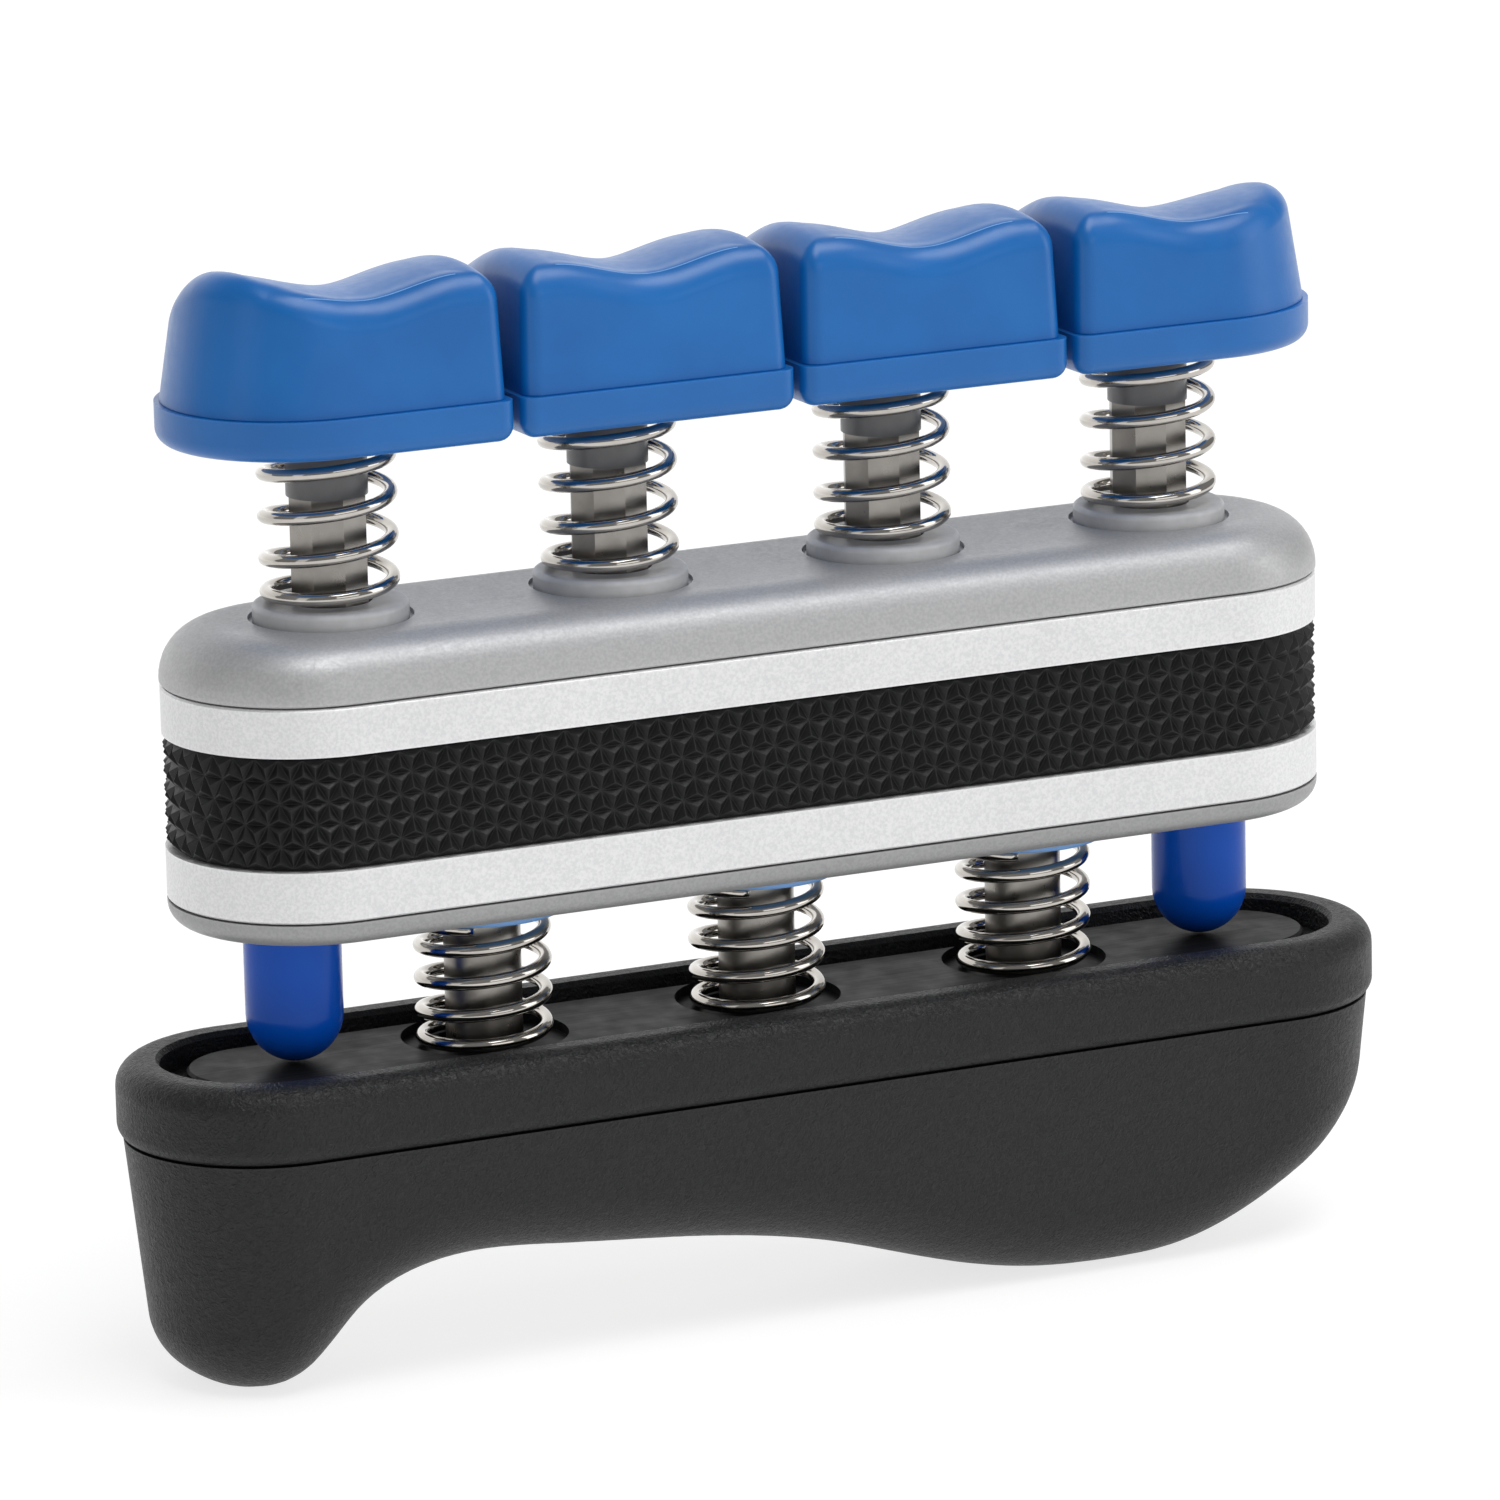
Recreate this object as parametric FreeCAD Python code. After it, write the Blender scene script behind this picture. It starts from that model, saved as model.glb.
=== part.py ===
"""Finger exerciser: four sprung finger buttons on a handle body that rides on a sprung palm rest.

Units are millimetres.  +X runs along the row of fingers, +Y across it, +Z up.
The origin is on the floor, midway between the two ends and the two sides.
Each function makes one sub-part, and each sub-part is written to its own STEP file.
"""
import FreeCAD, Part
import math
import os

Vector = FreeCAD.Vector

# ---- driving dimensions -------------------------------------------------
FINGER_PITCH = 22.5              # breadth of one finger's place in the row
BUTTON_X = [(i - 1.5) * FINGER_PITCH for i in range(4)]
PALM_SPRING_X = [-FINGER_PITCH, 0.0, FINGER_PITCH]
PIN_X = [-37.7, 37.7]

BUTTON_TRAVEL = 6.0              # how far one finger button can be pressed
PALM_TRAVEL = 5.0                # how far the palm rest can be squeezed towards the body
RUNNING_GAP = 0.08               # radial clearance of a sliding fit
REST_GAP = 0.3                   # clearance between a stop and what it stops

# palm rest
RIM_R = 10.95
RIM_HALF = 51.3
RIM_BOTTOM_Z = 18.3
RIM_TOP_Z = 24.1
RECESS_R = 7.65
TRAY_TOP_Z = 22.0
TRAY_BOTTOM_Z = 21.0
SKIRT_R = 9.0                    # inside of the rim below its tray
SHELL_STEP = 0.45                # the shell is set in from the rim by this much
SHELL_FOOT_R = 8.6               # half width of the shell at floor level, before rounding
SHELL_WALL = 2.2
SHELL_EDGE = 5.5                 # rounding along the bottom of the shell
SPIGOT_TOP_Z = 20.5
DECK_R = 5.65
DECK_HALF = 46.0
DECK_TOP_Z = 23.3
POCKET_R = 6.3
POCKET_Z = 22.6
SOLE_DIP = 0.2                   # the lobes are cut this much short, which leaves two flats to stand on

# palm posts and their guides
PALM_POST_R = 2.9
PALM_POST_TOP_Z = 40.9
FOOT_R = 4.6
FOOT_Z = 19.6
CUP_R = 6.4
CUP_BOTTOM_Z = 33.0
CUP_BARREL_R = 4.2
CUP_BARREL_TOP_Z = 38.2

# handle body
BODY_R = 10.57
BODY_HALF = 46.65
BODY_BOTTOM_Z = 34.2
FLOOR_TOP_Z = 36.0               # top face of the bottom cover's plate
FRAME_BOTTOM_Z = 36.12
BAND_Z = [39.95, 48.5]
BAND_DEPTH = 0.97
FRAME_TOP_Z = 52.1
COVER_BOTTOM_Z = 52.25
COVER_PROUD = 0.05
COVER_EDGE = 4.0                 # rounding of the top cover
ROOF_Z = 54.9                    # underside of the top cover's plate
BODY_TOP_Z = 56.6
CAVITY_R = 8.4
LIP = 1.05                       # wall of the locating lips on both covers
LIP_HEIGHT = 1.5
WEB_X = 33.0                     # inner edge of the web that the pin springs push on
WEB_Z = [43.9, 45.2]
BOSS_X = 30.0
BOSS_Y = 5.9
BOSS_R = 2.3
BOSS_CLEARANCE = 0.3             # the bottom cover's lip stops this far from the screw bosses
SCREW_R = 1.05
SCREW_HEAD_R = 1.9

# guide bushes, plunger posts and clips
BUSH_FLANGE_R = 5.78
BUSH_TOP_Z = 57.75
BUSH_SEAT_Z = 56.25
BUSH_BARREL_R = 4.3
BUSH_BOTTOM_Z = 53.2
POST_R = 3.03                    # corner radius of the eight-sided post
POST_BOTTOM_Z = 51.6
POST_TOP_Z = 72.6
SLEEVE_BOTTOM_Z = 65.7
SLEEVE_NECK_R = 2.5
CLIP_THICK = 0.6
CLIP_GROOVE_R = 2.35
CLIP_R = 4.1

# finger buttons
CAP_R = 10.3
CAP_HALF = 46.3
CAP_GAP = 0.6
BOSS_BOTTOM_Z = 69.5
BASE_BOTTOM_Z = 70.1
LEDGE_Z = 73.2
SEAT_R = 6.3
DOME_INSET = 0.4
DOME_TOP_Z = 85.0                # where the dome's walls would end without its saddle
DOME_TOP_INSET = 1.05            # how far the front walls lean in over that height
DOME_SIDE_INSET = 0.8            # the same between two buttons
DOME_END_INSET = 2.4             # the same at the two ends of the row
DOME_WALL = 1.6
DOME_CEILING_Z = 76.5
SADDLE_DIP_Z = 81.45             # the three heights of a button's top, at the ridge of its crown
SADDLE_CREST_Z = 82.75
SADDLE_END_Z = [83.05, 82.45]
SADDLE_SHOULDER = 3.4            # a crest is level for this far in from a button's side
ROW_FALL = 0.0105                # the tops fall by this much per millimetre along the row
CROWN_R = 20.0                   # the top curves down this way towards its front and back
CROWN_Y = -4.0                   # the crown's ridge lies towards the front
DOME_EDGE = 1.9                  # rounding of the dome's corners and crests
SKIRT_EDGE = 1.2

# end pins
PIN_R = 3.64
PIN_TIP_GAP = 0.1
PIN_BORE_R = 2.3
PIN_BORE_Z = 28.0
PIN_HEAD_R = 4.5
PIN_HEAD_THICK = 0.7
PIN_BOSS_R = 5.0
PIN_BOSS_TOP_Z = 37.6

# springs
SPRING_R = 5.18
WIRE = 0.95
SPRING_TURNS = 4.25
PIN_SPRING_R = 2.05
PIN_WIRE = 0.35
PIN_SPRING_TURNS = 12


# ---- helpers ------------------------------------------------------------
def stadium_wire(radius, half, z):
    """A closed outline with straight sides and half-round ends, half mm long each way in X."""
    c = half - radius
    right = Part.Arc(Vector(c, -radius, z), Vector(half, 0, z), Vector(c, radius, z))
    left = Part.Arc(Vector(-c, radius, z), Vector(-half, 0, z), Vector(-c, -radius, z))
    back = Part.LineSegment(Vector(c, radius, z), Vector(-c, radius, z))
    front = Part.LineSegment(Vector(-c, -radius, z), Vector(c, -radius, z))
    return Part.Wire([e.toShape() for e in (front, right, back, left)])


def stadium(radius, half, z0, z1):
    """An upright stadium-shaped block."""
    face = Part.Face(stadium_wire(radius, half, z0))
    return face.extrude(Vector(0, 0, z1 - z0))


def drafted_stadium(radius0, half0, z0, radius1, half1, z1):
    """A stadium-shaped block whose walls lean from one outline to another."""
    wires = [stadium_wire(radius0, half0, z0), stadium_wire(radius1, half1, z1)]
    return Part.makeLoft(wires, True, True)


def cone_ended(radius0, radius1, c, z0, z1):
    """A stadium-shaped block whose walls all lean alike, with its end cones at c each way in X."""
    corners = [Vector(-c, -radius0, z0), Vector(-c, radius0, z0),
               Vector(-c, radius1, z1), Vector(-c, -radius1, z1)]
    middle = Part.Face(Part.makePolygon(corners + corners[:1])).extrude(Vector(2 * c, 0, 0))
    ends = [Part.makeCone(radius0, radius1, z1 - z0, Vector(x, 0, z0)) for x in (-c, c)]
    return fuse_all(middle, ends)


def inner(radius):
    """Half length of an outline inside the body whose wall follows the body's outside."""
    return BODY_HALF - BODY_R + radius


def cylinder(radius, z0, z1, x=0.0, y=0.0):
    return Part.makeCylinder(radius, z1 - z0, Vector(x, y, z0))


def cone(radius0, radius1, z0, z1, x=0.0, y=0.0):
    return Part.makeCone(radius0, radius1, z1 - z0, Vector(x, y, z0))


def cut_all(shape, tools):
    for tool in tools:
        shape = shape.cut(tool)
    return shape


def fuse_all(shape, tools):
    for tool in tools:
        shape = shape.fuse(tool)
    return shape.removeSplitter()


def level_edges(shape, z):
    """The edges that lie flat at height z."""
    return [e for e in shape.Edges if abs(e.BoundBox.ZMin - z) < 0.01 and abs(e.BoundBox.ZMax - z) < 0.01]


def helical_spring(z0, z1, radius, wire, turns):
    """A right-handed compression spring round the Z axis, swept along equal arcs of its helix."""
    mean = radius - 0.5 * wire
    rise = z1 - z0 - wire
    count = math.ceil(turns)
    start = Vector(0, 0, z0 + 0.5 * wire)
    arc = Part.makeHelix(rise / turns, rise / count, mean).Edges[0]
    edges = []
    for k in range(count):
        edge = arc.copy()
        edge.rotate(Vector(0, 0, 0), Vector(0, 0, 1), 360 * turns / count * k)
        edge.translate(start + Vector(0, 0, rise / count * k))
        edges.append(edge)
    section = Part.Circle(start + Vector(mean, 0, 0), Vector(0, 1, 0), 0.5 * wire)
    return Part.Wire(edges).makePipeShell([Part.Wire([section.toShape()])], True, True)


def retaining_clip(x, z):
    """An open ring that snaps into the groove of a post."""
    ring = cylinder(CLIP_R, z, z + CLIP_THICK, x).cut(cylinder(CLIP_GROOVE_R, z, z + CLIP_THICK, x))
    mouth = Part.makeBox(CLIP_R + 1, 2.6, CLIP_THICK, Vector(x, -1.3, z))
    relief = [cylinder(0.7, z, z + CLIP_THICK, x + 2.75 * math.cos(a), 2.75 * math.sin(a))
              for a in (math.radians(120), math.radians(240))]
    return cut_all(ring, [mouth] + relief)


def clip_groove(x, z, radius):
    """The material that a clip's groove takes out of a post."""
    return cylinder(radius + 1, z - 0.05, z + CLIP_THICK + 0.05, x).cut(
        cylinder(CLIP_GROOVE_R, z - 0.05, z + CLIP_THICK + 0.05, x))


# ---- palm rest ----------------------------------------------------------
def sole_profile(lift):
    """The side view of the shell, its underside raised by lift: toe, palm arch, heel, rear curve."""
    outline = [(-51.9, 5.5), (-48.0, 1.4), (-43.0, -SOLE_DIP), (-39.0, 1.5), (-35.6, 5.3),
               (-29.4, 8.1), (-19.4, 7.9), (-7.4, 6.7), (3.6, 4.6), (13.6, 1.5), (20.6, 0.1),
               (26.6, -SOLE_DIP), (32.4, 0.2), (38.5, 2.3), (44.2, 5.9), (52.0, 14.6)]
    sole = Part.BSplineCurve()
    sole.interpolate(Points=[Vector(x, 0, z + lift) for x, z in outline])
    start, end = sole.StartPoint, sole.EndPoint
    top = RIM_BOTTOM_Z + 5
    corners = [end, Vector(end.x, 0, top), Vector(start.x, 0, top), start]
    edges = [sole.toShape()] + [Part.makeLine(a, b) for a, b in zip(corners, corners[1:])]
    return Part.Face(Part.Wire(edges))


def shell_block(inset, lift):
    """The palm shell's outer form, or with an inset and a lift, the hollow inside it."""
    walls = cone_ended(SHELL_FOOT_R - inset, RIM_R - SHELL_STEP - inset, RIM_HALF - RIM_R,
                       -0.5, RIM_BOTTOM_Z)
    side = sole_profile(lift)
    side.translate(Vector(0, -RIM_R - 5, 0))
    return walls.common(side.extrude(Vector(0, 2 * RIM_R + 10, 0)))


def turn_between_faces(shape, edge):
    """The angle between the two faces that meet at an edge, 0 where they run on smoothly."""
    middle = edge.valueAt(0.5 * (edge.FirstParameter + edge.LastParameter))
    faces = [f for f in shape.Faces if any(edge.isSame(other) for other in f.Edges)]
    if len(faces) < 2:
        return 0.0
    normals = [f.normalAt(*f.Surface.parameter(middle)) for f in faces[:2]]
    return normals[0].getAngle(normals[1])


def bottom_edges(shape):
    """The edges all round the underside, where it meets the walls."""
    return [e for e in shape.Edges
            if e.BoundBox.ZMax < RIM_BOTTOM_Z - 0.5 and turn_between_faces(shape, e) > 0.2]


def palm_shell():
    outside = shell_block(0.0, 0.0)
    outside = outside.makeFillet(SHELL_EDGE, bottom_edges(outside))
    outside = outside.cut(Part.makeBox(3 * RIM_HALF, 4 * RIM_R, 2, Vector(-1.5 * RIM_HALF, -2 * RIM_R, -2)))
    hollow = shell_block(SHELL_WALL, SHELL_WALL + 1.4)
    spigot = stadium(SKIRT_R - 0.05, RIM_HALF - RIM_R + SKIRT_R - 0.05, RIM_BOTTOM_Z - 2, SPIGOT_TOP_Z)
    spigot_hollow = stadium(SKIRT_R - 1.6, RIM_HALF - RIM_R + SKIRT_R - 1.6,
                            RIM_BOTTOM_Z - 4, SPIGOT_TOP_Z)
    shell = outside.cut(hollow).fuse(spigot).cut(spigot_hollow)
    posts = [cylinder(FOOT_R, 0.0, FOOT_Z, x) for x in PALM_SPRING_X]
    posts += [cylinder(3.0, 0.0, TRAY_BOTTOM_Z, x) for x in deck_screw_x()]
    ribs = fuse_all(posts[0], posts[1:]).common(outside.fuse(spigot))
    top_bosses = [cylinder(3.0, RIM_BOTTOM_Z - 1, TRAY_BOTTOM_Z, x) for x in deck_screw_x()]
    shell = fuse_all(shell.fuse(ribs), top_bosses)
    pilots = [cylinder(SCREW_R, 11.5, TRAY_BOTTOM_Z, x) for x in deck_screw_x()]
    return cut_all(shell, pilots)


def deck_screw_x():
    return [-1.4 * FINGER_PITCH, -0.5 * FINGER_PITCH, 0.5 * FINGER_PITCH, 1.4 * FINGER_PITCH]


def palm_rim():
    """The upper moulding of the palm rest: a rim round a shallow tray."""
    block = stadium(RIM_R, RIM_HALF, RIM_BOTTOM_Z, RIM_TOP_Z)
    block = block.makeFillet(1.9, level_edges(block, RIM_TOP_Z))
    block = block.makeFillet(1.2, level_edges(block, RIM_BOTTOM_Z))
    recess_half = RIM_HALF - RIM_R + RECESS_R
    recess = stadium(RECESS_R, recess_half, TRAY_TOP_Z, RIM_TOP_Z)
    recess = fuse_all(recess, [drafted_stadium(RECESS_R, recess_half, RIM_TOP_Z - 0.4,
                                               RECESS_R + 0.3, recess_half + 0.3, RIM_TOP_Z)])
    under = stadium(SKIRT_R, RIM_HALF - RIM_R + SKIRT_R, RIM_BOTTOM_Z, TRAY_BOTTOM_Z)
    holes = [cylinder(PALM_POST_R, TRAY_BOTTOM_Z, TRAY_TOP_Z, x) for x in PALM_SPRING_X]
    holes += [countersink(x, 0.0, TRAY_TOP_Z, -1, TRAY_TOP_Z - TRAY_BOTTOM_Z) for x in deck_screw_x()]
    return cut_all(block, [recess, under] + holes)


def countersink(x, y, z, way, depth):
    """A countersunk hole, or the head of its screw, that opens at z and goes up or down by way."""
    sink = SCREW_HEAD_R - SCREW_R
    if way < 0:
        return cone(SCREW_R, SCREW_HEAD_R, z - sink, z, x, y).fuse(cylinder(SCREW_R, z - depth, z, x, y))
    return cone(SCREW_HEAD_R, SCREW_R, z, z + sink, x, y).fuse(cylinder(SCREW_R, z, z + depth, x, y))


def deck_plate():
    """The smooth plate in the tray, with a shallow round pocket for each palm spring."""
    plate = stadium(DECK_R, DECK_HALF, TRAY_TOP_Z, DECK_TOP_Z)
    plate = plate.makeChamfer(0.2, level_edges(plate, DECK_TOP_Z))
    pockets = [cylinder(POCKET_R, POCKET_Z, DECK_TOP_Z, x) for x in PALM_SPRING_X]
    holes = [cylinder(PALM_POST_R, TRAY_TOP_Z, POCKET_Z, x) for x in PALM_SPRING_X]
    return cut_all(plate, pockets + holes)


def deck_screws():
    """The screws that hold the rim's tray down on the shell's bosses."""
    return Part.makeCompound([countersink(x, 0.0, TRAY_TOP_Z, -1, 9.5) for x in deck_screw_x()])


def palm_post(x):
    """A post that stands on its foot in the palm rest and slides in the body."""
    post = cylinder(PALM_POST_R, FOOT_Z, PALM_POST_TOP_Z, x)
    post = post.makeChamfer(0.5, level_edges(post, PALM_POST_TOP_Z))
    foot = cylinder(FOOT_R, FOOT_Z, TRAY_BOTTOM_Z, x)
    return fuse_all(post, [foot]).cut(clip_groove(x, palm_clip_z(), PALM_POST_R))


def palm_clip_z():
    return CUP_BARREL_TOP_Z + REST_GAP


def palm_post_clips():
    return Part.makeCompound([retaining_clip(x, palm_clip_z()) for x in PALM_SPRING_X])


def palm_spring():
    return helical_spring(POCKET_Z, CUP_BOTTOM_Z, SPRING_R, WIRE, SPRING_TURNS)


# ---- handle body --------------------------------------------------------
def screw_places():
    return [(sx * BOSS_X, sy * BOSS_Y) for sx in (-1, 1) for sy in (-1, 1)]


def top_cover():
    radius = BODY_R + COVER_PROUD
    half = BODY_HALF + COVER_PROUD
    block = stadium(radius, half, COVER_BOTTOM_Z, BODY_TOP_Z)
    block = block.makeFillet(COVER_EDGE, level_edges(block, BODY_TOP_Z))
    block = block.makeChamfer(0.15, level_edges(block, COVER_BOTTOM_Z))
    block = block.cut(stadium(CAVITY_R, inner(CAVITY_R), COVER_BOTTOM_Z, ROOF_Z))
    lip = stadium(CAVITY_R - 0.05, inner(CAVITY_R - 0.05), COVER_BOTTOM_Z - LIP_HEIGHT, ROOF_Z)
    lip = lip.cut(stadium(CAVITY_R - LIP, inner(CAVITY_R - LIP), COVER_BOTTOM_Z - LIP_HEIGHT, ROOF_Z))
    bosses = [cylinder(BOSS_R, FLOOR_TOP_Z, ROOF_Z, x, y) for x, y in screw_places()]
    block = fuse_all(block, [lip] + bosses)
    pilots = [cylinder(SCREW_R, FLOOR_TOP_Z, FLOOR_TOP_Z + 11, x, y) for x, y in screw_places()]
    seats = [cylinder(BUSH_FLANGE_R + 0.35, BUSH_SEAT_Z, BODY_TOP_Z, x) for x in BUTTON_X]
    holes = [cylinder(BUSH_BARREL_R, BUSH_BOTTOM_Z, BODY_TOP_Z, x) for x in BUTTON_X]
    return cut_all(block, pilots + seats + holes)


def center_frame():
    """The middle shell: a tube with a groove for the grip band and a web at each end."""
    block = stadium(BODY_R, BODY_HALF, FRAME_BOTTOM_Z, FRAME_TOP_Z)
    block = block.makeChamfer(0.15, level_edges(block, FRAME_BOTTOM_Z) + level_edges(block, FRAME_TOP_Z))
    block = block.cut(stadium(CAVITY_R, inner(CAVITY_R), FRAME_BOTTOM_Z, FRAME_TOP_Z))
    groove_r = BODY_R - BAND_DEPTH
    groove = stadium(BODY_R + 1, BODY_HALF + 1, BAND_Z[0], BAND_Z[1])
    groove = groove.cut(stadium(groove_r, inner(groove_r), BAND_Z[0], BAND_Z[1]))
    block = block.cut(groove)
    web = stadium(CAVITY_R + 0.5, inner(CAVITY_R + 0.5), WEB_Z[0], WEB_Z[1])
    middle = Part.makeBox(2 * WEB_X, 4 * BODY_R, 4, Vector(-WEB_X, -2 * BODY_R, WEB_Z[0] - 1))
    return fuse_all(block, [web.cut(middle)])


def grip_band():
    """The rubber band in the frame's groove; its tips reach the frame's outside."""
    band = stadium(BODY_R, BODY_HALF, BAND_Z[0], BAND_Z[1])
    band_r = BODY_R - BAND_DEPTH
    return band.cut(stadium(band_r, inner(band_r), BAND_Z[0], BAND_Z[1]))


def bottom_cover():
    plate = stadium(BODY_R, BODY_HALF, BODY_BOTTOM_Z, FLOOR_TOP_Z)
    plate = plate.makeFillet(1.6, level_edges(plate, BODY_BOTTOM_Z))
    lip_top = FLOOR_TOP_Z + LIP_HEIGHT
    lip = stadium(CAVITY_R - 0.05, inner(CAVITY_R - 0.05), FLOOR_TOP_Z - 0.5, lip_top)
    lip = lip.cut(stadium(CAVITY_R - LIP, inner(CAVITY_R - LIP), FLOOR_TOP_Z - 0.5, lip_top))
    lip = cut_all(lip, [cylinder(BOSS_R + BOSS_CLEARANCE, FLOOR_TOP_Z, lip_top, x, y)
                        for x, y in screw_places()])
    guides = [cylinder(PIN_BOSS_R, FLOOR_TOP_Z - 0.5, PIN_BOSS_TOP_Z, x) for x in PIN_X]
    plate = fuse_all(plate, [lip] + guides)
    holes = [cylinder(PIN_R + RUNNING_GAP, BODY_BOTTOM_Z, PIN_BOSS_TOP_Z, x) for x in PIN_X]
    holes += [cylinder(CUP_BARREL_R, BODY_BOTTOM_Z, lip_top, x) for x in PALM_SPRING_X]
    holes += [countersink(x, y, BODY_BOTTOM_Z, 1, 2.0) for x, y in screw_places()]
    return cut_all(plate, holes)


def chassis_screws():
    """The four screws that draw the bottom cover up to the top cover's bosses."""
    return Part.makeCompound([countersink(x, y, BODY_BOTTOM_Z, 1, 12.0) for x, y in screw_places()])


def spring_cup(x):
    """The flanged dish that a palm spring pushes on; its barrel guides the palm post."""
    flange = cylinder(CUP_R, CUP_BOTTOM_Z, BODY_BOTTOM_Z, x)
    flange = flange.makeFillet(0.35, level_edges(flange, CUP_BOTTOM_Z) + level_edges(flange, BODY_BOTTOM_Z))
    barrel = cylinder(CUP_BARREL_R, CUP_BOTTOM_Z + 0.1, CUP_BARREL_TOP_Z, x)
    bore = cylinder(PALM_POST_R + RUNNING_GAP, CUP_BOTTOM_Z, CUP_BARREL_TOP_Z, x)
    return fuse_all(flange, [barrel]).cut(bore)


def guide_bush(x):
    """The flanged bush in the top cover that guides a plunger post and seats its spring."""
    flange = cylinder(BUSH_FLANGE_R, BUSH_SEAT_Z, BUSH_TOP_Z, x)
    flange = flange.makeFillet(0.4, level_edges(flange, BUSH_TOP_Z))
    barrel = cylinder(BUSH_BARREL_R, BUSH_BOTTOM_Z, BUSH_SEAT_Z + 0.1, x)
    bore = cylinder(POST_R + RUNNING_GAP, BUSH_BOTTOM_Z, BUSH_TOP_Z, x)
    return fuse_all(flange, [barrel]).cut(bore)


def finger_spring():
    return helical_spring(BUSH_TOP_Z, BOSS_BOTTOM_Z, SPRING_R, WIRE, SPRING_TURNS)


# ---- finger buttons -----------------------------------------------------
def button_span(index):
    """The two ends of one button along the row, at the skirt."""
    left = -CAP_HALF if index == 0 else (index - 2) * FINGER_PITCH + 0.5 * CAP_GAP
    right = CAP_HALF if index == 3 else (index - 1) * FINGER_PITCH - 0.5 * CAP_GAP
    return left, right


def leaning_slab(index, inset0, z0, inset1, z1):
    """The space between a button's two neighbours, whose sides lean in as they go up."""
    left, right = button_span(index)
    reach = 10.0                 # past the rounded end of the row
    l0 = left - reach if index == 0 else left + inset0
    l1 = left - reach if index == 0 else left + inset1
    r0 = right + reach if index == 3 else right - inset0
    r1 = right + reach if index == 3 else right - inset1
    y = -CAP_R - 5
    points = [Vector(l0, y, z0), Vector(r0, y, z0), Vector(r1, y, z1), Vector(l1, y, z1)]
    face = Part.Face(Part.makePolygon(points + points[:1]))
    return face.extrude(Vector(0, 2 * CAP_R + 10, 0))


def corner_edges(shape):
    """The upright edges where a button's straight sides meet its front and back."""
    return [e for e in shape.Edges if e.BoundBox.ZLength > LEDGE_Z - BASE_BOTTOM_Z - 0.1
            and e.BoundBox.XLength < 2.0 and abs(e.CenterOfMass.x) < FINGER_PITCH + 3]


def saddle(index):
    """Everything above a button's top: a dip for the fingertip between two crests, crowned in Y."""
    left, right = button_span(index)
    left_z = SADDLE_END_Z[0] if index == 0 else SADDLE_CREST_Z
    right_z = SADDLE_END_Z[1] if index == 3 else SADDLE_CREST_Z
    heights = [(left - 1, left_z), (left + SADDLE_SHOULDER, left_z), (BUTTON_X[index], SADDLE_DIP_Z),
               (right - SADDLE_SHOULDER, right_z), (right + 1, right_z)]
    level = Vector(1, 0, 0)
    curve = Part.BSplineCurve()
    curve.interpolate(Points=[Vector(x, CROWN_Y, z - ROW_FALL * x) for x, z in heights],
                      InitialTangent=level, FinalTangent=level)
    start, end = curve.StartPoint, curve.EndPoint
    top = DOME_TOP_Z + 5
    corners = [end, Vector(end.x, CROWN_Y, top), Vector(start.x, CROWN_Y, top), start]
    edges = [curve.toShape()] + [Part.makeLine(a, b) for a, b in zip(corners, corners[1:])]
    face = Part.Face(Part.Wire(edges))
    centre = Vector(0, CROWN_Y, SADDLE_DIP_Z - CROWN_R)
    face.rotate(centre, Vector(1, 0, 0), -60)
    return face.revolve(centre, Vector(1, 0, 0), 100)


def finger_cap(index):
    """The hollow blue dome that a fingertip presses."""
    walls = drafted_stadium(CAP_R - DOME_INSET, CAP_HALF - DOME_INSET, LEDGE_Z,
                            CAP_R - DOME_TOP_INSET, CAP_HALF - DOME_END_INSET, DOME_TOP_Z)
    dome = walls.common(leaning_slab(index, DOME_INSET, LEDGE_Z, DOME_SIDE_INSET, DOME_TOP_Z))
    dome = dome.cut(saddle(index)).Solids[0]
    crest = [e for e in dome.Edges if e.BoundBox.ZMin > LEDGE_Z + 1]
    dome = dome.makeFillet(DOME_EDGE, crest + corner_edges(dome))
    in0 = DOME_INSET + DOME_WALL
    hollow = drafted_stadium(CAP_R - in0, CAP_HALF - in0, LEDGE_Z - 0.1,
                             CAP_R - in0 - 0.4, CAP_HALF - in0 - 1.2, DOME_CEILING_Z)
    hollow = hollow.common(leaning_slab(index, in0, LEDGE_Z - 0.1, in0 + 0.4, DOME_CEILING_Z))
    return dome.cut(hollow)


def button_base(index):
    """The skirt that carries the dome, with a round seat for the spring and a socket for the post."""
    x = BUTTON_X[index]
    plate = stadium(CAP_R, CAP_HALF, BASE_BOTTOM_Z, LEDGE_Z)
    plate = plate.common(leaning_slab(index, 0.0, BASE_BOTTOM_Z, 0.0, LEDGE_Z)).Solids[0]
    plate = plate.makeFillet(SKIRT_EDGE, level_edges(plate, BASE_BOTTOM_Z) + corner_edges(plate))
    in0 = DOME_INSET + DOME_WALL + 0.05
    plug = drafted_stadium(CAP_R - in0, CAP_HALF - in0, LEDGE_Z - 0.1,
                           CAP_R - in0 - 0.4, CAP_HALF - in0 - 0.8, LEDGE_Z + 1.6)
    plug = plug.common(leaning_slab(index, in0, LEDGE_Z - 0.1, in0 + 0.4, LEDGE_Z + 1.6))
    seat = cylinder(SEAT_R, BOSS_BOTTOM_Z, BASE_BOTTOM_Z + 0.1, x)
    seat = seat.makeFillet(0.2, level_edges(seat, BOSS_BOTTOM_Z))
    return fuse_all(plate, [plug, seat]).cut(cylinder(POST_R, BOSS_BOTTOM_Z, POST_TOP_Z, x))


def button_clip_z():
    return BUSH_BOTTOM_Z - REST_GAP - CLIP_THICK


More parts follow.
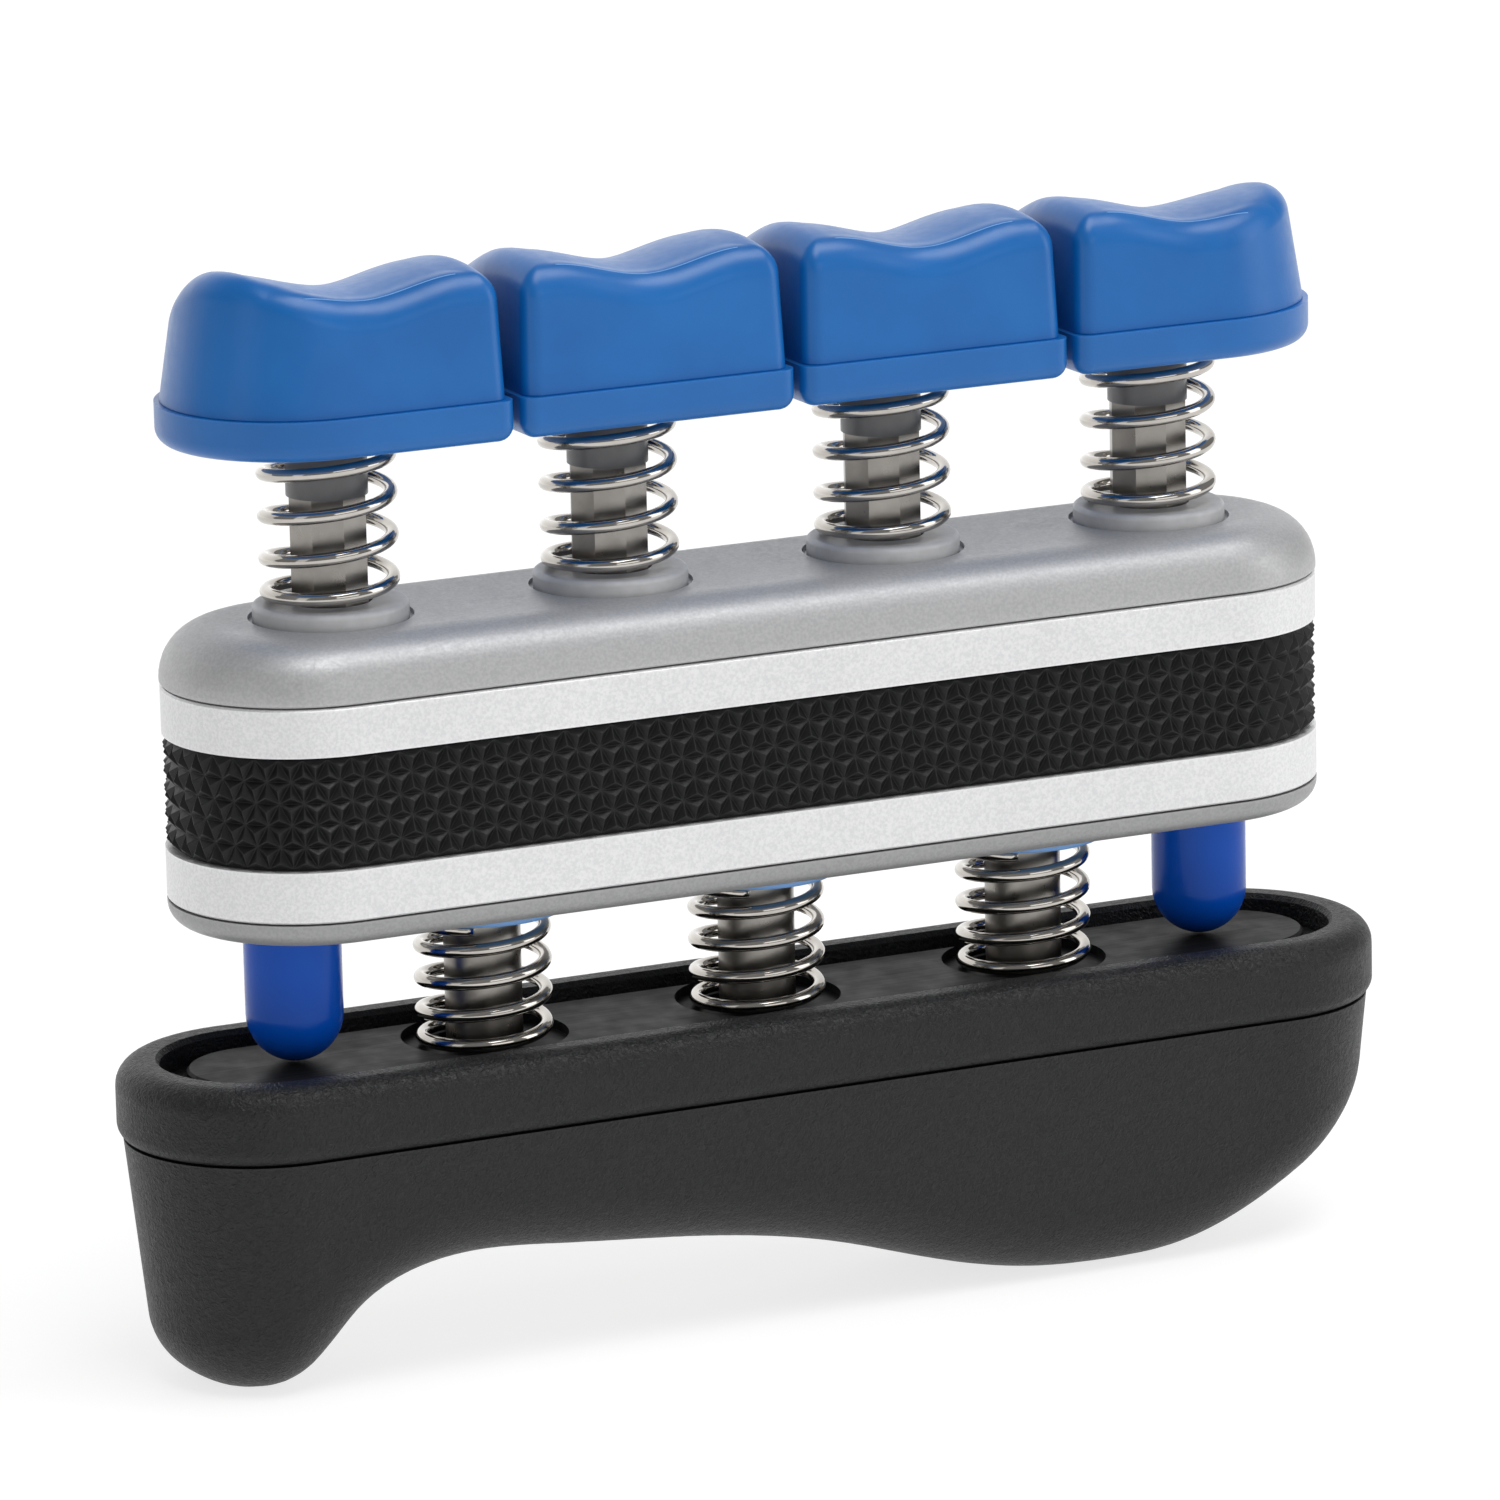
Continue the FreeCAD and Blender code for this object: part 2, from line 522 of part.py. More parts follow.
def plunger_post(x):
    """The eight-sided post under a button, with a neck for its sleeve and a groove for its clip."""
    corners = [Vector(x + POST_R * math.cos(a), POST_R * math.sin(a), POST_BOTTOM_Z)
               for a in [math.radians(45 * k) for k in range(9)]]
    post = Part.Face(Part.makePolygon(corners)).extrude(Vector(0, 0, POST_TOP_Z - POST_BOTTOM_Z))
    neck = cylinder(POST_R + 1, SLEEVE_BOTTOM_Z, BOSS_BOTTOM_Z, x).cut(
        cylinder(SLEEVE_NECK_R, SLEEVE_BOTTOM_Z, BOSS_BOTTOM_Z, x))
    tip = cylinder(POST_R + 1, POST_BOTTOM_Z, POST_BOTTOM_Z + 0.4, x).cut(
        cone(POST_R - 0.4, POST_R, POST_BOTTOM_Z, POST_BOTTOM_Z + 0.4, x))
    return cut_all(post, [neck, clip_groove(x, button_clip_z(), POST_R), tip])


def post_sleeve(x):
    tube = cylinder(POST_R, SLEEVE_BOTTOM_Z, BOSS_BOTTOM_Z, x)
    return tube.cut(cylinder(SLEEVE_NECK_R, SLEEVE_BOTTOM_Z, BOSS_BOTTOM_Z, x))


# ---- end pins -----------------------------------------------------------
def end_pin(x):
    """The round-nosed pin that stands on the deck and slides up into the body."""
    tip = DECK_TOP_Z + PIN_TIP_GAP
    nose = Part.makeSphere(PIN_R, Vector(x, 0, tip + PIN_R))
    shank = cylinder(PIN_R, tip + PIN_R, pin_head_z() + PIN_HEAD_THICK, x)
    head = cylinder(PIN_HEAD_R, pin_head_z(), pin_head_z() + PIN_HEAD_THICK, x)
    bore = cylinder(PIN_BORE_R, PIN_BORE_Z, pin_head_z() + PIN_HEAD_THICK, x)
    return fuse_all(shank, [nose, head]).cut(bore)


def pin_head_z():
    return PIN_BOSS_TOP_Z + REST_GAP


def pin_return_spring():
    return helical_spring(PIN_BORE_Z, WEB_Z[0], PIN_SPRING_R, PIN_WIRE, PIN_SPRING_TURNS)


# ---- the whole object ---------------------------------------------------
def assembly():
    nodes = {
        "palm_shell": palm_shell(),
        "palm_rim": palm_rim(),
        "deck_plate": deck_plate(),
        "deck_screws": deck_screws(),
        "palm_post_clips": palm_post_clips(),
        "top_cover": top_cover(),
        "center_frame": center_frame(),
        "grip_band": grip_band(),
        "bottom_cover": bottom_cover(),
        "chassis_screws": chassis_screws(),
    }
    palm_coil, button_coil, pin_coil = palm_spring(), finger_spring(), pin_return_spring()
    for name, x in zip(("left", "middle", "right"), PALM_SPRING_X):
        nodes["palm_post_" + name] = palm_post(x)
        nodes["palm_spring_" + name] = palm_coil.translated(Vector(x, 0, 0))
        nodes["spring_cup_" + name] = spring_cup(x)
    for name, x in zip(("left", "right"), PIN_X):
        nodes["end_pin_" + name] = end_pin(x)
        nodes["pin_spring_" + name] = pin_coil.translated(Vector(x, 0, 0))
    for index, x in enumerate(BUTTON_X):
        number = str(index + 1)
        nodes["finger_cap_" + number] = finger_cap(index)
        nodes["button_base_" + number] = button_base(index)
        nodes["plunger_post_" + number] = plunger_post(x)
        nodes["post_sleeve_" + number] = post_sleeve(x)
        nodes["guide_bush_" + number] = guide_bush(x)
        nodes["finger_spring_" + number] = button_coil.translated(Vector(x, 0, 0))
        nodes["post_clip_" + number] = retaining_clip(x, button_clip_z())
    return nodes


os.makedirs("parts", exist_ok=True)
for node_name, solid in assembly().items():
    solid.exportStep(os.path.join("parts", node_name + ".step"))
    box = solid.BoundBox
    print(f"{node_name:20s} solids {len(solid.Solids)} valid {solid.isValid()} "
          f"volume {solid.Volume:9.1f} x {box.XMin:6.1f}..{box.XMax:5.1f} "
          f"y {box.YMin:5.1f}..{box.YMax:4.1f} z {box.ZMin:5.1f}..{box.ZMax:4.1f}")
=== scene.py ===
import math

import bpy
import numpy as np
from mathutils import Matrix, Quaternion, Vector


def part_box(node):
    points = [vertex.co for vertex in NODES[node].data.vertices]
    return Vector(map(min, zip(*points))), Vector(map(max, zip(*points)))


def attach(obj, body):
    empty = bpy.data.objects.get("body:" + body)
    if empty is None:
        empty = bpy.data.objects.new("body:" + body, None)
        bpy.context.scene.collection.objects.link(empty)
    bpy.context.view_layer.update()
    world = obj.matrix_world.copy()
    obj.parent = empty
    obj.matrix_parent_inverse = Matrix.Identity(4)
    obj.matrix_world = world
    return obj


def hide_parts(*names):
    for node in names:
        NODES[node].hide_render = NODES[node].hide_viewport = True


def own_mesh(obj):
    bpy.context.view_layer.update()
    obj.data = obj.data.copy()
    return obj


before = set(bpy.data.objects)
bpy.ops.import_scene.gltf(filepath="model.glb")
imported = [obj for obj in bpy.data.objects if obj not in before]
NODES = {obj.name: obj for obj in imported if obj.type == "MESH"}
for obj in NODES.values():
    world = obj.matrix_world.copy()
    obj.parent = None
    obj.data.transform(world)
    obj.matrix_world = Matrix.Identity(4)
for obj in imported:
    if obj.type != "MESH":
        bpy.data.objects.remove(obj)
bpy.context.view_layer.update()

MM = 0.001
FINGERS = (1, 2, 3, 4)
PALM_SIDES = ("left", "middle", "right")
PIN_SIDES = ("left", "right")
BOXES = {}

# ---- driving values, in metres ------------------------------------------
WIRE = 1.0 * MM
PIN_WIRE = 0.35 * MM
FINGER_OPEN_TURNS = 3.0          # of wire standing apart between the closed ends
PALM_OPEN_TURNS = 3.3
PIN_OPEN_TURNS = 10.0
SPRING_START = math.radians(60)   # a spring's wire starts towards the object's back
CLOSED_TURNS = 0.6               # of wire lying together at each end of a spring
CAP_WALL = 0.4 * MM              # the dome stands in from its skirt by this much
DIP_Z = 81.35 * MM               # three heights of a button's top, at the ridge of its crown
CREST_Z = 82.65 * MM
END_Z = (82.93 * MM, 82.35 * MM)
ROW_FALL = 0.0105                # the tops fall by this much along the row
CAP_CORE_Z = 77.2 * MM           # the height of the middle that a dome's skin is built round
CROWN_R = 20.0 * MM
CROWN_Y = -4.0 * MM
SHOULDER = 3.4 * MM
DISH_DEPTH = 0.14 * MM
DISH_FRONT = -8.0 * MM           # the front edge of the fingertip's dish
SEAM_HALF = 7.3 * MM             # a seam line runs this far each way from its post
SEAM_RADIUS = 0.045 * MM
SEAM_MARGIN = 1.2 * MM           # and keeps this far inside the dome's outline


# ---- small helpers ------------------------------------------------------
def box(node):
    """The lowest and highest corners of a CAD node, measured once."""
    if node not in BOXES:
        BOXES[node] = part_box(node)
    return BOXES[node]


def centre(node):
    low, high = box(node)
    return 0.5 * (low + high)


def new_piece(name, vertices, faces, smooth=True):
    """A mesh object made from plain vertices and faces."""
    mesh = bpy.data.meshes.new(name)
    mesh.from_pydata([tuple(v) for v in vertices], [], [tuple(f) for f in faces])
    mesh.update()
    mesh.polygons.foreach_set("use_smooth", [smooth] * len(mesh.polygons))
    piece = bpy.data.objects.new(name, mesh)
    bpy.context.scene.collection.objects.link(piece)
    return piece


def ring_faces(rings, around):
    """Quads between neighbouring rings of vertices, each ring closed on itself."""
    faces = []
    for r in range(rings - 1):
        a, b = r * around, (r + 1) * around
        for k in range(around):
            n = (k + 1) % around
            faces.append((a + k, a + n, b + n, b + k))
    return faces


def smooth_step(t):
    t = np.clip(t, 0.0, 1.0)
    return t * t * (3 - 2 * t)


# ---- materials ----------------------------------------------------------
class Recipe:
    """A principled material whose colour, roughness and relief come from noise."""

    def __init__(self, name, roughness, metallic=0.0, specular=0.5, coat=0.0, coat_roughness=0.1):
        self.material = bpy.data.materials.new(name)
        self.material.use_nodes = True
        self.nodes = self.material.node_tree.nodes
        self.links = self.material.node_tree.links
        self.shader = self.nodes["Principled BSDF"]
        self.shader.inputs["Roughness"].default_value = roughness
        self.shader.inputs["Metallic"].default_value = metallic
        self.shader.inputs["Specular IOR Level"].default_value = specular
        self.shader.inputs["Coat Weight"].default_value = coat
        self.shader.inputs["Coat Roughness"].default_value = coat_roughness
        self.place = self.nodes.new("ShaderNodeTexCoord").outputs["Object"]
        self.normal = None

    def stretched(self, scale):
        mapping = self.nodes.new("ShaderNodeMapping")
        mapping.inputs["Scale"].default_value = scale
        self.links.new(self.place, mapping.inputs["Vector"])
        return mapping.outputs["Vector"]

    def noise(self, per_mm, detail=3.0, stretch=None, distortion=0.0):
        node = self.nodes.new("ShaderNodeTexNoise")
        node.inputs["Scale"].default_value = per_mm / MM
        node.inputs["Detail"].default_value = detail
        node.inputs["Distortion"].default_value = distortion
        self.links.new(self.stretched(stretch) if stretch else self.place, node.inputs["Vector"])
        return node.outputs["Fac"]

    def spread(self, value, low, high, from_low=0.3, from_high=0.7):
        node = self.nodes.new("ShaderNodeMapRange")
        node.inputs["From Min"].default_value = from_low
        node.inputs["From Max"].default_value = from_high
        node.inputs["To Min"].default_value = low
        node.inputs["To Max"].default_value = high
        self.links.new(value, node.inputs["Value"])
        return node.outputs["Result"]

    def colour(self, value, dark, light, low=0.3, high=0.7):
        node = self.nodes.new("ShaderNodeValToRGB")
        node.color_ramp.elements[0].position = low
        node.color_ramp.elements[1].position = high
        node.color_ramp.elements[0].color = (*dark, 1)
        node.color_ramp.elements[1].color = (*light, 1)
        self.links.new(value, node.inputs["Fac"])
        return node.outputs["Color"]

    def mixed(self, value, below, above):
        node = self.nodes.new("ShaderNodeMix")
        node.data_type = "RGBA"
        self.links.new(value, node.inputs["Factor"])
        self.links.new(below, node.inputs["A"])
        if isinstance(above, tuple):
            node.inputs["B"].default_value = (*above, 1)
        else:
            self.links.new(above, node.inputs["B"])
        return node.outputs["Result"]

    def edge_sheen_and_wear(self, radius_mm=0.35, reach=0.12):
        """Nought on open faces, rising to one along edges sharper than a radius: the mask for painted edge
        highlight and for wear.
        """
        rounded = self.nodes.new("ShaderNodeBevel")
        rounded.samples = 4
        rounded.inputs["Radius"].default_value = radius_mm * MM
        true = self.nodes.new("ShaderNodeNewGeometry").outputs["Normal"]
        dot = self.nodes.new("ShaderNodeVectorMath")
        dot.operation = "DOT_PRODUCT"
        self.links.new(rounded.outputs["Normal"], dot.inputs[0])
        self.links.new(true, dot.inputs[1])
        return self.spread(dot.outputs["Value"], 1.0, 0.0, 1.0 - reach, 0.995)

    def relief(self, value, height_mm, strength=1.0):
        node = self.nodes.new("ShaderNodeBump")
        node.inputs["Distance"].default_value = height_mm * MM
        node.inputs["Strength"].default_value = strength
        self.links.new(value, node.inputs["Height"])
        if self.normal is not None:
            self.links.new(self.normal, node.inputs["Normal"])
        self.normal = node.outputs["Normal"]

    def done(self, colour, roughness=None):
        self.links.new(colour, self.shader.inputs["Base Color"])
        if roughness is not None:
            self.links.new(roughness, self.shader.inputs["Roughness"])
        if self.normal is not None:
            self.links.new(self.normal, self.shader.inputs["Normal"])
        return self.material


def moulded_blue(name, dark, light, roughness, coat, grain_mm, specular=0.32):
    """Injection-moulded plastic: faint flow mottling, a very fine grain and slightly paler edges, which
    are a painted highlight together with wear.
    """
    r = Recipe(name, roughness, specular=specular, coat=coat, coat_roughness=0.3)
    base = r.colour(r.noise(0.12, detail=4), dark, light)
    # edges painted paler: painted highlight along the edges, together with wear
    worn_and_lit = tuple(min(1.0, 1.35 * c + 0.015) for c in light)
    base = r.mixed(r.spread(r.edge_sheen_and_wear(), 0.0, 0.35, 0.0, 1.0), base, worn_and_lit)
    r.relief(r.noise(7.0, detail=2), grain_mm)
    r.relief(r.noise(0.35, detail=2), 0.012)
    return r.done(base, r.spread(r.noise(1.2, detail=3), roughness - 0.04, roughness + 0.05))


def silver_paint(name, level, grain_mm, metallic=0.35, roughness=0.42):
    """Silver-painted plastic: metallic flake, a fine orange-peel grain and edges painted brighter, a
    painted highlight together with rubbing.
    """
    r = Recipe(name, roughness, metallic=metallic, specular=0.5)
    dark = tuple(level * c for c in (0.87, 0.875, 0.88))
    light = tuple(min(1.0, level * c) for c in (1.0, 1.0, 1.0))
    flake = r.colour(r.noise(4.5, detail=3), dark, light, 0.38, 0.62)
    shade = r.colour(r.noise(0.08, detail=3), (0.95, 0.95, 0.955), (1.0, 1.0, 1.0))
    node = r.nodes.new("ShaderNodeMix")
    node.data_type = "RGBA"
    node.blend_type = "MULTIPLY"
    node.inputs["Factor"].default_value = 1.0
    r.links.new(flake, node.inputs["A"])
    r.links.new(shade, node.inputs["B"])
    # edges painted brighter: painted highlight along the edges, together with rubbing
    base = r.mixed(r.spread(r.edge_sheen_and_wear(), 0.0, 0.5, 0.0, 1.0), node.outputs["Result"],
                   (min(1.0, 1.25 * level),) * 3)
    r.relief(r.noise(5.5, detail=3), grain_mm)
    return r.done(base, r.spread(r.noise(2.5, detail=3), roughness - 0.06, roughness + 0.08))


def spark_plastic(name, dark, light, roughness):
    """Black plastic from a spark-eroded mould: a wormy leather-like relief with a fine grain on it."""
    r = Recipe(name, roughness, specular=0.4)
    worms = r.noise(2.3, detail=3, distortion=1.6)
    fine = r.noise(9.0, detail=2)
    base = r.colour(worms, dark, light)
    # edges painted paler: painted highlight along the edges, together with wear
    worn_and_lit = tuple(2.2 * c + 0.01 for c in light)
    base = r.mixed(r.spread(r.edge_sheen_and_wear(), 0.0, 0.4, 0.0, 1.0), base, worn_and_lit)
    r.relief(worms, 0.18)
    r.relief(fine, 0.012)
    return r.done(base, r.spread(worms, roughness + 0.1, roughness - 0.06))


def band_rubber():
    r = Recipe("band_rubber", 0.42, specular=0.3)
    base = r.colour(r.noise(0.8, detail=4), (0.0036, 0.0036, 0.0038), (0.0062, 0.0062, 0.0065))
    # paler grey along the edges: painted highlight together with dust
    dust_and_sheen = r.spread(r.edge_sheen_and_wear(0.15, 0.3), 0.0, 0.25, 0.0, 1.0)
    base = r.mixed(dust_and_sheen, base, (0.055, 0.055, 0.056))
    r.relief(r.noise(10.0, detail=3), 0.008)
    return r.done(base, r.spread(r.noise(3.0, detail=3), 0.34, 0.5))


def deck_black():
    """A semi-gloss plate with the fine lengthwise lines of its tool."""
    r = Recipe("deck_black", 0.45, specular=0.06)
    lines = r.noise(3.0, detail=2, stretch=(0.015, 1.0, 1.0))
    base = r.colour(lines, (0.010, 0.010, 0.0105), (0.026, 0.026, 0.0265))
    r.relief(lines, 0.006)
    return r.done(base, r.spread(r.noise(0.5, detail=4), 0.36, 0.5))


def bright_metal(name, dark, light, roughness, lines=None, line_mm=0.0008):
    """Bare metal with drawing lines, small stains and a little uneven polish."""
    r = Recipe(name, roughness, metallic=1.0)
    base = r.colour(r.noise(0.35, detail=3), dark, light)
    if lines:
        r.relief(r.noise(6.0, detail=3, stretch=lines), line_mm)
    return r.done(base, r.spread(r.noise(0.8, detail=3), roughness - 0.03, roughness + 0.04))


def grey_plastic(name, level, roughness):
    r = Recipe(name, roughness)
    base = r.colour(r.noise(0.9, detail=4), (level * 0.88,) * 3, (level, level, level * 1.01))
    r.relief(r.noise(6.0, detail=2), 0.003)
    return r.done(base, r.spread(r.noise(1.5, detail=3), roughness - 0.05, roughness + 0.06))


def paint(names, material):
    for name in names:
        slots = NODES[name].data.materials
        slots.clear()
        slots.append(material)


# ---- camera and studio --------------------------------------------------
def camera():
    """The viewing angle: from the left of the row's front, a little above it."""
    azimuth, elevation, roll = math.radians(-24.84), math.radians(13.36), -0.023
    distance = 0.7052
    target = Vector((-0.17 * MM, 0.0, 42.33 * MM))
    away = Vector((math.sin(azimuth) * math.cos(elevation),
                   -math.cos(azimuth) * math.cos(elevation), math.sin(elevation)))
    data = bpy.data.cameras.new("camera")
    data.lens = 225.4
    data.sensor_width = 36.0
    data.clip_start = 0.05
    view = bpy.data.objects.new("camera", data)
    view.location = target + distance * away
    view.rotation_mode = "QUATERNION"
    turn = Quaternion((0, 0, 1), roll)
    view.rotation_quaternion = (-away).to_track_quat("-Z", "Y") @ turn
    bpy.context.scene.collection.objects.link(view)
    bpy.context.scene.camera = view


def area_light(name, place, target, size, watts, colour=(1, 1, 1)):
    data = bpy.data.lights.new(name, "AREA")
    data.shape = "RECTANGLE"
    data.size, data.size_y = size
    data.energy = watts
    data.color = colour
    light = bpy.data.objects.new(name, data)
    light.location = place
    light.rotation_mode = "QUATERNION"
    light.rotation_quaternion = (Vector(target) - Vector(place)).to_track_quat("-Z", "Y")
    bpy.context.scene.collection.objects.link(light)


def floor_material():
    r = Recipe("floor_white", 0.75, specular=0.2)
    base = r.colour(r.noise(0.004, detail=3), (0.32, 0.32, 0.32), (0.34, 0.34, 0.34))
    r.relief(r.noise(0.8, detail=2), 0.01)
    r.shader.inputs["Emission Color"].default_value = (1, 1, 1, 1)
    r.shader.inputs["Emission Strength"].default_value = 0.74
    return r.done(base)


def studio():
    """A pale floor that sweeps up behind the object, and soft light from above and both sides."""
    half, back, rise, bend = 3.0, 2.2, 2.5, 1.0
    steps = 24
    profile = [(-2.5, 0.0), (back - bend, 0.0)]
    profile += [(back - bend + bend * math.sin(a), bend - bend * math.cos(a))
                for a in [0.5 * math.pi * k / steps for k in range(1, steps + 1)]]
    profile.append((back, rise))
    vertices = [(x, y, z) for y, z in profile for x in (-half, half)]
    faces = [(2 * k, 2 * k + 1, 2 * k + 3, 2 * k + 2) for k in range(len(profile) - 1)]
    floor = new_piece("floor", vertices, faces)
    floor.data.materials.append(floor_material())
    world = bpy.data.worlds.new("world")
    world.use_nodes = True
    world.node_tree.nodes["Background"].inputs["Color"].default_value = (1, 1, 1, 1)
    world.node_tree.nodes["Background"].inputs["Strength"].default_value = 0.25
    bpy.context.scene.world = world
    middle = (0, 0, 0.045)
    area_light("key_top", (0.15, -0.25, 0.95), middle, (0.9, 0.42), 6.0)
    area_light("fill_right", (0.95, -0.55, 0.45), middle, (0.5, 0.9), 2.8)
    area_light("fill_left", (-1.05, -0.35, 0.35), middle, (0.35, 0.8), 0.5)
    area_light("front", (0.1, -1.3, 0.5), middle, (0.9, 0.5), 1.6)
    area_light("back_wall", (0.0, 0.7, 0.9), (0, 2.2, 0.4), (2.0, 0.8), 26.0)
    bpy.context.scene.view_settings.view_transform = "Standard"
    bpy.context.scene.view_settings.look = "None"


# ---- springs ------------------------------------------------------------
def coil_spring(name, low, high, turns_open, phase, wire=WIRE):
    """A spring with closed ends: its coils lie together there and stand apart between."""
    mean = 0.5 * (high.x - low.x) - 0.5 * wire
    x0 = 0.5 * (low.x + high.x)
    closed = CLOSED_TURNS
    turns = turns_open + 2 * closed
    steps = int(64 * turns)
    t = np.linspace(0.0, turns, steps + 1)
    rise_open = (high.z - low.z - wire - 2 * closed * wire) / turns_open
    pitch = np.where((t < closed) | (t > turns - closed), wire, rise_open)
    kernel = np.hanning(33)
    kernel /= kernel.sum()
    pitch = np.convolve(np.pad(pitch, 16, mode="edge"), kernel, mode="valid")
    z = np.concatenate([[0.0], np.cumsum(0.5 * (pitch[1:] + pitch[:-1]) * np.diff(t))])
    z = low.z + 0.5 * wire + z / z[-1] * (high.z - low.z - wire)
    angle = 2 * math.pi * t + phase
    path = np.stack([x0 + mean * np.cos(angle), mean * np.sin(angle), z], axis=1)
    out = np.stack([np.cos(angle), np.sin(angle), np.zeros_like(angle)], axis=1)
    along = np.gradient(path, axis=0)
    along /= np.linalg.norm(along, axis=1)[:, None]
    up = np.cross(along, out)
    sides = 18
    vertices = []
    for k in range(sides):
        a = 2 * math.pi * k / sides
        vertices.append(path + 0.5 * wire * (math.cos(a) * out + math.sin(a) * up))
    vertices = np.stack(vertices, axis=1).reshape(-1, 3)
    faces = ring_faces(len(path), sides)
    faces.append(tuple(range(sides)))
    faces.append(tuple(reversed(range(len(vertices) - sides, len(vertices)))))
    return new_piece(name, vertices, faces)


def springs(metal):
    for n in FINGERS:
        node = f"finger_spring_{n}"
        low, high = box(node)
        piece = coil_spring(f"finger_coil_{n}", low, high, FINGER_OPEN_TURNS, SPRING_START)
        piece.data.materials.append(metal)
        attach(piece, "chassis")
        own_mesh(piece)
        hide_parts(node)
    for side in PALM_SIDES:
        node = f"palm_spring_{side}"
        low, high = box(node)
        piece = coil_spring(f"palm_coil_{side}", low, high, PALM_OPEN_TURNS, SPRING_START)
        piece.data.materials.append(metal)
        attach(piece, "palm_rest")
        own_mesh(piece)
        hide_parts(node)
    for side in PIN_SIDES:
        node = f"pin_spring_{side}"
        low, high = box(node)
        piece = coil_spring(f"pin_coil_{side}", low, high, PIN_OPEN_TURNS, 0.0, PIN_WIRE)
        piece.data.materials.append(metal)
        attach(piece, "chassis")
        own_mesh(piece)
        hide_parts(node)


# ---- finger caps --------------------------------------------------------
def cap_span(n):
    """The dome's two ends along the row at its foot, taken from its skirt."""
    low, high = box(f"button_base_{n}")
    return low.x, high.x


def cap_top(n, x, y):
    """The height of a button's top: a dip between two crests, crowned from front to back."""
    left, right = cap_span(n)
    middle = centre(f"plunger_post_{n}").x
    left_z = END_Z[0] if n == 1 else CREST_Z
    right_z = END_Z[1] if n == 4 else CREST_Z
    rise_left = smooth_step((middle - x) / (middle - left - SHOULDER))
    rise_right = smooth_step((x - middle) / (right - SHOULDER - middle))
    ridge = DIP_Z + (left_z - DIP_Z) * rise_left + (right_z - DIP_Z) * rise_right - ROW_FALL * x
    axis_z = DIP_Z - CROWN_R
    radius = ridge - axis_z
    top = axis_z + np.sqrt(np.maximum(radius ** 2 - (y - CROWN_Y) ** 2, 1e-8))
    inside = np.minimum(y - DISH_FRONT, 8.2 * MM - np.abs(x - middle - 0.2 * MM))
    inside = np.minimum(inside, 8.5 * MM - y)
    return top - DISH_DEPTH * smooth_step(inside / (1.4 * MM))


def round_max(a, b, radius):
    """The larger of two distances, rounded by a radius where they are alike."""
    corner = np.hypot(np.maximum(a + radius, 0), np.maximum(b + radius, 0))
    return np.minimum(-radius, np.maximum(a, b)) + corner


def cap_distance(n, x, y, z):
    """Signed distance, below zero inside the dome."""
    low, high = box(f"button_base_{n}")
    foot = box(f"finger_cap_{n}")[0].z
    t = (z - foot) / (11.8 * MM)
    half_y = 0.5 * (high.y - low.y) - CAP_WALL - 0.65 * MM * t
    row_low, row_high = box("button_base_1")[0].x, box("button_base_4")[1].x
    end = 0.5 * (row_high - row_low) - CAP_WALL - 2.0 * MM * t
    straight = end - half_y
    wall = np.hypot(np.maximum(np.abs(x) - straight, 0), y) - half_y
    side_lean = CAP_WALL + 0.4 * MM * t
    sides = np.full_like(x, -1.0)
    if n > 1:
        sides = np.maximum(sides, low.x + side_lean - x)
    if n < 4:
        sides = np.maximum(sides, x - (high.x - side_lean))
    around = round_max(wall, sides, 1.3 * MM)
    top = z - cap_top(n, x, y)
    roll = (1.8 + 1.4 * smooth_step((y + 3 * MM) / (8 * MM))) * MM
    return round_max(around, 0.97 * top, roll)


def cap_piece(n, blue):
    """The dome as a skin of rings, each point found along a ray from the dome's middle."""
    low, high = box(f"button_base_{n}")
    around, walls, tops = 288, 40, 72
    hx, hy = 0.5 * (high.x - low.x), 0.5 * (high.y - low.y)
    x0 = 0.5 * (low.x + high.x)
    a = np.linspace(0, 2 * math.pi, around, endpoint=False)
    power = 0.55
    ax = hx * np.sign(np.cos(a)) * np.abs(np.cos(a)) ** power
    ay = hy * np.sign(np.sin(a)) * np.abs(np.sin(a)) ** power
    foot, core = box(f"finger_cap_{n}")[0].z, CAP_CORE_Z
    rows = []
    for k in range(walls):
        z = foot + (core - foot) * k / walls
        rows.append((np.full(around, z), ax, ay, np.zeros(around)))
    for k in range(tops):
        tilt = 0.5 * math.pi * (k / tops)
        lift = 6.5 * MM * math.sin(tilt)
        level = math.cos(tilt)
        rows.append((np.full(around, core), ax * level, ay * level, np.full(around, lift)))
    vertices = []
    for z, dx, dy, dz in rows:
        near, far = np.zeros(around), np.full(around, 1.9)
        for _ in range(34):
            mid = 0.5 * (near + far)
            outside = cap_distance(n, x0 + mid * dx, mid * dy, z + mid * dz) > 0
            far = np.where(outside, mid, far)
            near = np.where(outside, near, mid)
        vertices.append(np.stack([x0 + near * dx, near * dy, z + near * dz], axis=1))
    vertices = np.concatenate(vertices)
    faces = ring_faces(len(rows), around)
    apex = np.array([[x0, 0.0, float(cap_top(n, np.array([x0]), np.array([0.0]))[0])]])
    foot_centre = np.array([[x0, 0.0, foot]])
    vertices = np.concatenate([vertices, apex, foot_centre])
    last = (len(rows) - 1) * around
    top_index, foot_index = len(vertices) - 2, len(vertices) - 1
    for k in range(around):
        m = (k + 1) % around
        faces.append((last + k, last + m, top_index))
        faces.append((m, k, foot_index))
    piece = new_piece(f"cap_skin_{n}", vertices, faces)
    piece.data.materials.append(blue)
    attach(piece, f"button_{n}")
    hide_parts(f"finger_cap_{n}")


